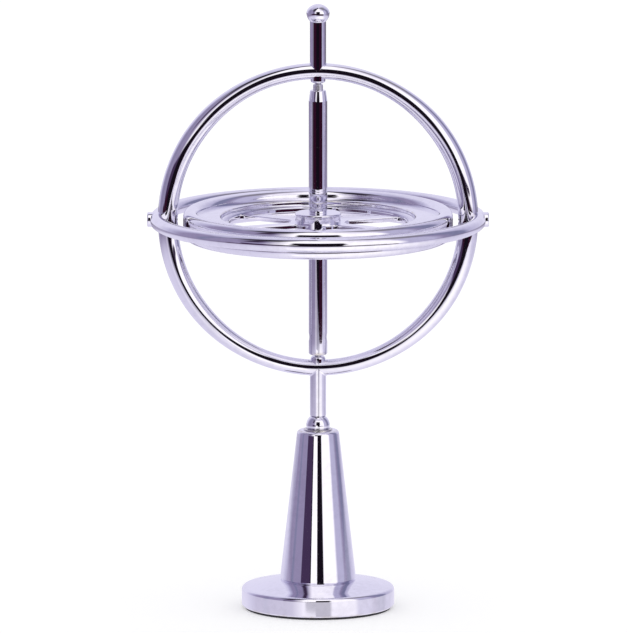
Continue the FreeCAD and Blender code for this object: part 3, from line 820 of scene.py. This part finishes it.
def finial():
    """A ball whose upper half is flatter: a tight shoulder that runs into a wide crown."""
    shoulder = FINIAL_RADIUS - FINIAL_SHOULDER
    crown = ((shoulder ** 2 + FINIAL_CROWN ** 2 - FINIAL_SHOULDER ** 2)
             / (2 * (FINIAL_CROWN - FINIAL_SHOULDER)))
    crown_centre = FINIAL_TOP - crown
    meeting = degrees(atan2(FINIAL_HEIGHT - crown_centre, shoulder))
    flat = degrees(asin(PARTING_FLAT / crown))
    end = crown_centre + sqrt(crown ** 2 - PARTING_FLAT ** 2)
    return turn(draw((0, FINIAL_HEIGHT - FINIAL_RADIUS), (0, FINIAL_HEIGHT, -90),
                     (shoulder, FINIAL_HEIGHT, -meeting), (0, crown_centre, -(90 - meeting - flat)),
                     (0, end)), SMALL_STEPS)


finish_piece("swivel_ball", ball(BALL_RADIUS, BALL_HEIGHT), turned_chrome, "pivot", "frame_chrome",
             "pivot_ball")
finish_piece("finial_ball", finial(), turned_chrome, "frame", "frame_chrome", "top_ball")

# %% [markdown]
# ## The two rings
# A ring of round bar is one circle, spun once about the ring's centre. The level ring is just
# that. The upright ring swells towards the two crossings, so after the spin each point is moved
# in or out from the bar's centre line, by a smooth cosine step between thirty and seventy-five
# degrees.

# %% Rings
BAR_SIDES = 56
SWELL_START, SWELL_END = 30.0, 75.0
QUARTER = radians(90)


def ring_of_bar(radius, bar, axis, stand_circle):
    bm = bmesh.new()
    place = Matrix.Translation((radius, 0, RINGS_HEIGHT)) @ stand_circle
    bmesh.ops.create_circle(bm, radius=bar, segments=BAR_SIDES, matrix=place)
    spin_round(bm, (0, 0, RINGS_HEIGHT), axis, WHEEL_STEPS)
    return bm


def bar_radius_at(angle):
    share = (angle - SWELL_START) / (SWELL_END - SWELL_START)
    share = (1 - cos(pi * min(1.0, max(0.0, share)))) / 2
    return UPRIGHT_ROD_SIDE + (UPRIGHT_ROD_POLE - UPRIGHT_ROD_SIDE) * share


def swell(bm):
    for vert in bm.verts:
        away = Vector((vert.co.x, 0, vert.co.z - RINGS_HEIGHT)).normalized()
        angle = degrees(atan2(abs(away.z), abs(away.x)))
        centre = Vector((0, 0, RINGS_HEIGHT)) + away * UPRIGHT_RADIUS
        vert.co = centre + (vert.co - centre) * bar_radius_at(angle) / UPRIGHT_ROD_SIDE


upright = ring_of_bar(UPRIGHT_RADIUS, UPRIGHT_ROD_SIDE, (0, 1, 0), Matrix.Identity(4))
swell(upright)
finish_piece("upright_ring", upright, ring_chrome, "frame", "frame_chrome", "vertical_ring")
level = ring_of_bar(LEVEL_RADIUS, LEVEL_ROD, (0, 0, 1), Matrix.Rotation(QUARTER, 4, "X"))
finish_piece("level_ring", level, ring_chrome, "frame", "frame_chrome", "horizontal_ring")

# %% [markdown]
# ## The rivets
# A flat rivet head closes the joint at each crossing. It is turned like the rest, then laid on its
# side, and a copy is turned round to the other crossing.

# %% Rivets
RIVET_RISE, RIVET_HEAD_HEIGHT = 0.45, 1.3
RIVET_TIP = LEVEL_RADIUS + LEVEL_ROD + RIVET_RISE
RIVET_HEAD = RIVET_TIP - RIVET_HEAD_HEIGHT
RIVET_TAIL = UPRIGHT_RADIUS - UPRIGHT_ROD_SIDE
RIVET_RADIUS, RIVET_HEAD_RADIUS, RIVET_EDGE = 0.7, 1.4, 0.2


def lay_down(bm, height):
    """Turns a piece that was drawn upright so that it lies along +X, at a height."""
    rotate(bm, bm.verts, QUARTER, "Y")
    lift(bm, height)


rivets = turn(draw((0, RIVET_TAIL), (RIVET_RADIUS, RIVET_TAIL), (RIVET_RADIUS, RIVET_HEAD),
                   (RIVET_HEAD_RADIUS, RIVET_HEAD),
                   *round_above(RIVET_HEAD_RADIUS, RIVET_TIP, RIVET_EDGE), (0, RIVET_TIP)), BUSH_STEPS)
lay_down(rivets, RINGS_HEIGHT)
turned_copy(rivets, everything(rivets), pi)
finish_piece("crossing_rivets", rivets, turned_chrome, "frame", "frame_chrome", "ring_rivets")

# %% [markdown]
# ## The necks
# A neck joins each pole of the upright ring to its ball. It is a straight bar, but the plating
# and the joint leave a small fillet where it meets the ring. The fillet can't be turned, because
# it follows the ring: it is widest along the ring and vanishes on the two flanks. So the neck is
# turned with closely spaced rows there, and each point is pushed out by its own amount. Inside
# the ring the neck is a hair thinner, so that nothing of it comes through.

# %% Necks
NECK_FILLET, BALL_FILLET = 0.2, 0.3
ROW, NECK_REACH = 0.12, 1.45
TUCK, TUCK_WITHIN = 0.03, 0.2
FINIAL_SOCKET = 1.2


def ring_surface_rise(x, y):
    """How far the upright ring's outer surface is from the rings' centre, at a point of the neck."""
    half = sqrt(max(0.0, UPRIGHT_ROD_POLE ** 2 - y ** 2))
    return sqrt((UPRIGHT_RADIUS + half) ** 2 - x ** 2)


def add_neck_fillet(bm):
    for vert in bm.verts:
        reach = hypot(vert.co.x, vert.co.y)
        if reach < NECK_RADIUS - 0.01:
            continue
        clear = abs(vert.co.z - RINGS_HEIGHT) - ring_surface_rise(vert.co.x, vert.co.y)
        if clear < NECK_FILLET:
            side = NECK_FILLET - max(0.0, clear)
            push = NECK_FILLET - sqrt(NECK_FILLET ** 2 - side ** 2)
            push *= (vert.co.x / reach) ** 2
            tuck = TUCK * min(1.0, max(0.0, -clear / TUCK_WITHIN))
            vert.co.x *= (reach + push - tuck) / reach
            vert.co.y *= (reach + push - tuck) / reach


def neck(pole, outwards, *moves):
    """A neck from inside the ring's pole outwards, with close rows at the ring's surface."""
    first, last = pole - outwards * NECK_REACH, pole + outwards * NECK_REACH
    count = round(abs(last - first) / ROW)
    rows = [(NECK_RADIUS, first + (last - first) * i / count) for i in range(count + 1)]
    bm = turn(draw((0, first), *rows, *moves), SMALL_STEPS)
    add_neck_fillet(bm)
    return bm


fillet_centre = (NECK_RADIUS + BALL_FILLET, FINIAL_HEIGHT - sqrt(
    (FINIAL_RADIUS + BALL_FILLET) ** 2 - (NECK_RADIUS + BALL_FILLET) ** 2))
fillet_turn = degrees(atan2(FINIAL_HEIGHT - fillet_centre[1], fillet_centre[0]))
inside_ball = FINIAL_HEIGHT - FINIAL_SOCKET
upper_neck = neck(RINGS_HEIGHT + RING_POLE, 1, (NECK_RADIUS, fillet_centre[1]),
                  (*fillet_centre, fillet_turn), (FINIAL_SOCKET, inside_ball), (0, inside_ball))
finish_piece("upper_neck", upper_neck, turned_chrome, "frame", "frame_chrome", "upper_stem")

HOLLOW_EDGE = 0.12
hollow_radius = NECK_RADIUS - HOLLOW_EDGE
hollow = degrees(asin(hollow_radius / SEAT_RADIUS))
hollow_rim = BALL_HEIGHT + sqrt(SEAT_RADIUS ** 2 - hollow_radius ** 2)
lower_neck = neck(RINGS_HEIGHT - RING_POLE, -1, (NECK_RADIUS, hollow_rim + HOLLOW_EDGE),
                  (hollow_radius, hollow_rim), (0, BALL_HEIGHT, -hollow))
finish_piece("lower_neck", lower_neck, turned_chrome, "frame", "frame_chrome", "lower_stem")

# %% [markdown]
# ## The bearings
# A domed bush sits inside each pole of the upright ring, bored for the pivot. The upper one is
# drawn, and the lower one is the same drawing mirrored in height.

# %% Bearings
BUSH_RADIUS, BUSH_ROUND, BUSH_BORE, BORE_DEPTH, BORE_MOUTH = 1.4, 0.45, 0.65, 0.85, 0.05
BUSH_END_RADIUS, BUSH_END_TAPER = 0.9, 0.5
_, BUSH_FACE, BUSH_END = measure("upper_bearing")


def bush():
    return turn(draw((0, BUSH_FACE + BORE_DEPTH), (BUSH_BORE, BUSH_FACE + BORE_DEPTH),
                     (BUSH_BORE, BUSH_FACE + BORE_MOUTH), (BUSH_BORE + BORE_MOUTH, BUSH_FACE),
                     *round_below(BUSH_RADIUS, BUSH_FACE, BUSH_ROUND),
                     (BUSH_RADIUS, BUSH_END - BUSH_END_TAPER), (BUSH_END_RADIUS, BUSH_END),
                     (0, BUSH_END)), BUSH_STEPS)


finish_piece("upper_bush", bush(), turned_chrome, "frame", "frame_chrome", "upper_bearing")
lower_bush = bush()
bmesh.ops.scale(lower_bush, vec=(1, 1, -1), verts=lower_bush.verts)
lift(lower_bush, 2 * RINGS_HEIGHT)
finish_piece("lower_bush", lower_bush, turned_chrome, "frame", "frame_chrome", "lower_bearing")

# %% [markdown]
# ## The spindle and its pivots
# The spindle is a bar with a short taper at its top and a rounded end at its bottom. The corner
# where the taper starts is softened in two short steps. A hole for the pull string goes across
# the bar near the bottom. The hole is cut with a Boolean modifier, which is applied at once, and
# the bar has extra rows near it so that the cut stays local.

# %% Spindle
STRING_HOLE_HEIGHT, STRING_HOLE_RADIUS = SPINDLE_BOTTOM + 3.4, 0.5
HOLE_MOUTH, MOUTH_DEPTH, DRILL_PAST, DRILL_REACH = 0.9, 0.2, 0.05, 3
END_ROUND, TAPER_LENGTH, TAPER_RADIUS, TOP_CHAMFER = 0.35, 2.0, 1.5, 0.08
SOFT_CORNER = [(0.0, -0.05), (0.003, 0.0), (0.02, 0.1)]
taper_foot = SPINDLE_TOP - TAPER_LENGTH


def cut(bm, tool):
    """The first bmesh with the second one cut away, as a new bmesh."""
    for each in (bm, tool):
        bmesh.ops.recalc_face_normals(each, faces=each.faces)
    body, cutter = new_object("body", bm), new_object("cutter", tool)
    change = body.modifiers.new("cut", "BOOLEAN")
    change.operation, change.solver, change.object = "DIFFERENCE", "EXACT", cutter
    bpy.context.view_layer.update()
    result = bmesh.new()
    result.from_object(body, bpy.context.evaluated_depsgraph_get())
    for thing in (body, cutter):
        bpy.data.meshes.remove(thing.data)
    return result


spindle = turn(draw((0, SPINDLE_BOTTOM), *round_below(SPINDLE_RADIUS, SPINDLE_BOTTOM, END_ROUND),
                    (SPINDLE_RADIUS, STRING_HOLE_HEIGHT - 2 * STRING_HOLE_RADIUS),
                    (SPINDLE_RADIUS, STRING_HOLE_HEIGHT + 2 * STRING_HOLE_RADIUS),
                    *[(SPINDLE_RADIUS - inwards, taper_foot + up) for inwards, up in SOFT_CORNER],
                    (TAPER_RADIUS, SPINDLE_TOP - TOP_CHAMFER),
                    (TAPER_RADIUS - TOP_CHAMFER, SPINDLE_TOP), (0, SPINDLE_TOP)), SMALL_STEPS)
drill = turn(draw((0, -DRILL_REACH), (HOLE_MOUTH, -DRILL_REACH),
                  (HOLE_MOUTH, -SPINDLE_RADIUS - DRILL_PAST),
                  (STRING_HOLE_RADIUS, -SPINDLE_RADIUS + MOUTH_DEPTH),
                  (STRING_HOLE_RADIUS, SPINDLE_RADIUS - MOUTH_DEPTH),
                  (HOLE_MOUTH, SPINDLE_RADIUS + DRILL_PAST), (HOLE_MOUTH, DRILL_REACH),
                  (0, DRILL_REACH)), DRILL_STEPS)
lay_down(drill, STRING_HOLE_HEIGHT)
finish_piece("spindle", cut(spindle, drill), turned_chrome, "rotor", "rotor_chrome", "axle")

# %% Pivots
PIVOT_RADIUS, PIVOT_NECK, PIVOT_POINT, PIVOT_CHAMFER, PIVOT_SEAT = 0.6, 0.95, 0.35, 0.1, 0.2
NECK_GAP = 0.3
top_tip, bottom_tip = measure("upper_pivot")[2], measure("lower_pivot")[1]
neck_end = BUSH_FACE - NECK_GAP
top_seat, bottom_seat = SPINDLE_TOP - PIVOT_SEAT, SPINDLE_BOTTOM + PIVOT_SEAT
top_pivot = turn(draw((0, top_seat), (PIVOT_NECK, top_seat), (PIVOT_NECK, neck_end - PIVOT_CHAMFER),
                      (PIVOT_NECK - PIVOT_CHAMFER, neck_end), (PIVOT_RADIUS, neck_end),
                      (PIVOT_RADIUS, top_tip - PIVOT_POINT), (0, top_tip)), PIVOT_STEPS)
finish_piece("top_pivot", top_pivot, ground_steel, "rotor", "hard_steel", "upper_pivot")
bottom_pivot = turn(draw((0, bottom_seat), (PIVOT_RADIUS, bottom_seat),
                         (PIVOT_RADIUS, bottom_tip + PIVOT_POINT), (0, bottom_tip)), PIVOT_STEPS)
finish_piece("bottom_pivot", bottom_pivot, ground_steel, "rotor", "hard_steel", "lower_pivot")

# %% [markdown]
# ## The hub and the heavy rim
# The hub is a short collar with rounded edges. The rim carries most of the weight: its wall is
# straight and its top and bottom are full rounds, so in section it looks like a thick pill.

# %% Hub and rim
HUB_EDGE, BORE_CHAMFER = 0.35, 0.12
HUB_BORE = SPINDLE_RADIUS + PRESS_FIT
hub = turn(draw((HUB_BORE, HUB_BOTTOM), *round_below(HUB_RADIUS, HUB_BOTTOM, HUB_EDGE),
                *round_above(HUB_RADIUS, HUB_TOP, HUB_EDGE), (HUB_BORE + BORE_CHAMFER, HUB_TOP),
                (HUB_BORE, HUB_TOP - BORE_CHAMFER), (HUB_BORE, HUB_BOTTOM)), SMALL_STEPS)
finish_piece("hub_collar", hub, wheel_chrome, "rotor", "rotor_chrome", "hub")

rim_round = (RIM_OUTER - RIM_INNER) / 2
rim_middle = RIM_INNER + rim_round
rim_low, rim_high = RIM_BOTTOM + rim_round, RIM_TOP - rim_round
rim = turn(draw((RIM_INNER, rim_low), (RIM_INNER, rim_high), (rim_middle, rim_high, 180),
                (RIM_OUTER, rim_low), (rim_middle, rim_low, 180)), WHEEL_STEPS)
finish_piece("heavy_rim", rim, wheel_chrome, "rotor", "rotor_chrome", "flywheel_rim")

# %% [markdown]
# ## The spoked web
# Between hub and rim the wheel is a shallow dish: a flat plate next to the rim, a step down, and a
# thin floor with six windows. Spinning can't make the windows. Each window is drawn as an outline
# that lies between two spokes: an inner arc, a small corner, a straight side along the spoke,
# another corner and half of the outer arc, then all of it mirrored.

# %% Window outline
SPOKES, SPOKE_WIDTH, FIRST_SPOKE = 6, 3.0, 25.0
WINDOW_OUTER, WINDOW_INNER, WINDOW_CORNER = RECESS_RADIUS - 1.5, HUB_RADIUS + 1.0, 1.0
WINDOW_EDGE, EDGE_STEPS = 0.2, 4
FLOOR_FILLET = 0.4
FLOOR_EDGE, FLOOR_EYE = RECESS_RADIUS - FLOOR_FILLET, HUB_RADIUS - 0.1
EYE_STEPS = 120


def window_outline():
    """One window between two spokes, pointing along +X, wider by its rounded edge."""
    bm = bmesh.new()
    spoke_turn = 180.0 / SPOKES
    beside = SPOKE_WIDTH / 2 + WINDOW_CORNER
    corners = []
    for radius in (WINDOW_INNER + WINDOW_CORNER, WINDOW_OUTER - WINDOW_CORNER):
        angle = spoke_turn - degrees(asin(beside / radius))
        corners.append((angle, Matrix.Rotation(radians(angle), 3, "Z") @ Vector((radius, 0, 0))))
    (inner_angle, inner_corner), (outer_angle, outer_corner) = corners
    tip = bm.verts.new((WINDOW_INNER - WINDOW_EDGE, 0, 0))
    tip = swing(bm, tip, (0, 0, 0), inner_angle, 4)
    tip = swing(bm, tip, inner_corner, -(90 + inner_angle - spoke_turn), 10)
    side_end = bm.verts.new(outer_corner + (tip.co - inner_corner))
    bm.edges.new((tip, side_end))
    tip = swing(bm, side_end, outer_corner, -(90 + spoke_turn - outer_angle), 14)
    swing(bm, tip, (0, 0, 0), -outer_angle, 16)
    bmesh.ops.mirror(bm, geom=everything(bm), axis="Y", merge_dist=SAME_POINT)
    weld(bm)
    print("window outline has", len(bm.verts), "points and", len(bm.edges), "sides")
    return bm


# %% [markdown]
# The floor's upper half comes first. Each window is filled for a moment, inset and lowered four
# times, so that the edge of its opening is a quarter round, and the wall then goes down to the
# middle of the floor. The other five windows are copies turned about the spindle. Two circles
# close the floor off, and the space between all the outlines is filled.

# %% Floor with windows
def open_window(bm, half):
    """Rounds the window's edge and gives it a wall down to height 0."""
    face = bmesh.ops.contextual_create(bm, geom=bm.edges[:])["faces"][0]
    face.normal_update()
    if face.normal.z < 0:
        face.normal_flip()
    lift(bm, half)
    for index in range(EDGE_STEPS):
        before, after = [pi / 2 * i / EDGE_STEPS for i in (index, index + 1)]
        inwards = WINDOW_EDGE * (cos(before) - cos(after))
        down = WINDOW_EDGE * (sin(after) - sin(before))
        bmesh.ops.inset_region(bm, faces=[face], thickness=inwards, depth=-down,
                               use_even_offset=True, use_boundary=True)
    bmesh.ops.inset_region(bm, faces=[face], thickness=0.0, depth=-(half - WINDOW_EDGE),
                           use_boundary=True)
    bmesh.ops.delete(bm, geom=[face], context="FACES_ONLY")


def floor_half(half):
    """Upper half of the spoked floor, with its middle at height 0."""
    bm = window_outline()
    open_window(bm, half)
    pitch = 2 * pi / SPOKES
    rotate(bm, bm.verts, radians(FIRST_SPOKE) + pitch / 2)
    one = everything(bm)
    for index in range(1, SPOKES):
        turned_copy(bm, one, index * pitch)
    outlines = [e for e in bm.edges
                if e.is_boundary and min(v.co.z for v in e.verts) > half - SAME_POINT]
    for radius, segments in ((FLOOR_EDGE, WHEEL_STEPS), (FLOOR_EYE, EYE_STEPS)):
        made = bmesh.ops.create_circle(bm, radius=radius, segments=segments,
                                       matrix=Matrix.Translation((0, 0, half)))
        outlines += list({e for v in made["verts"] for e in v.link_edges})
    bmesh.ops.triangle_fill(bm, use_beauty=True, edges=outlines, normal=(0, 0, 1))
    return bm


def spoked_floor():
    bm = floor_half((RECESS_FLOOR - FLOOR_UNDERSIDE) / 2)
    bmesh.ops.mirror(bm, geom=everything(bm), axis="Z", merge_dist=SAME_POINT)
    weld(bm)
    eye = [e for e in bm.edges if e.is_boundary and e.verts[0].co.length < FLOOR_EYE + 1.0]
    bmesh.ops.bridge_loops(bm, edges=eye)
    lift(bm, (RECESS_FLOOR + FLOOR_UNDERSIDE) / 2)
    return bm


web_floor = spoked_floor()
print("spoked floor", len(web_floor.faces), "faces")

# %% [markdown]
# The plate and the step are turned, with as many steps as the floor's outer circle has points, so
# the two meshes meet point for point and are merged into one.

# %% Web
LIP_RADIUS, LOWER_FILLET, LOWER_LIP = 0.35, 0.2, 0.15
WEB_WELD = 2e-3
plate = turn(draw((FLOOR_EDGE, RECESS_FLOOR), (FLOOR_EDGE, RECESS_FLOOR + FLOOR_FILLET, -90),
                  (RECESS_RADIUS, PLATE_TOP - LIP_RADIUS),
                  (RECESS_RADIUS + LIP_RADIUS, PLATE_TOP - LIP_RADIUS, 90),
                  (RIM_INNER, PLATE_TOP), (RIM_INNER, PLATE_BOTTOM),
                  (RECESS_RADIUS + LOWER_LIP, PLATE_BOTTOM), (RECESS_RADIUS, PLATE_BOTTOM + LOWER_LIP),
                  (RECESS_RADIUS, FLOOR_UNDERSIDE - LOWER_FILLET),
                  (RECESS_RADIUS - LOWER_FILLET, FLOOR_UNDERSIDE - LOWER_FILLET, -90),
                  (FLOOR_EDGE, FLOOR_UNDERSIDE)), WHEEL_STEPS)
web_mesh = bpy.data.meshes.new("web_floor")
web_floor.to_mesh(web_mesh)
web_floor.free()
plate.from_mesh(web_mesh)
bpy.data.meshes.remove(web_mesh)
weld(plate, WEB_WELD)
finish_piece("spoked_web", plate, wheel_chrome, "rotor", "rotor_chrome", "flywheel_web")

# %% [markdown]
# ## The one CAD piece that stays
# The screw that holds the foot to the column can't be seen in the finished toy, so its CAD shape
# is good enough. It gets the hardened steel finish.

# %% Screw
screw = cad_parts["base_screw"]
screw.data.materials.clear()
screw.data.materials.append(hard_steel)
print("base_screw keeps its CAD shape")
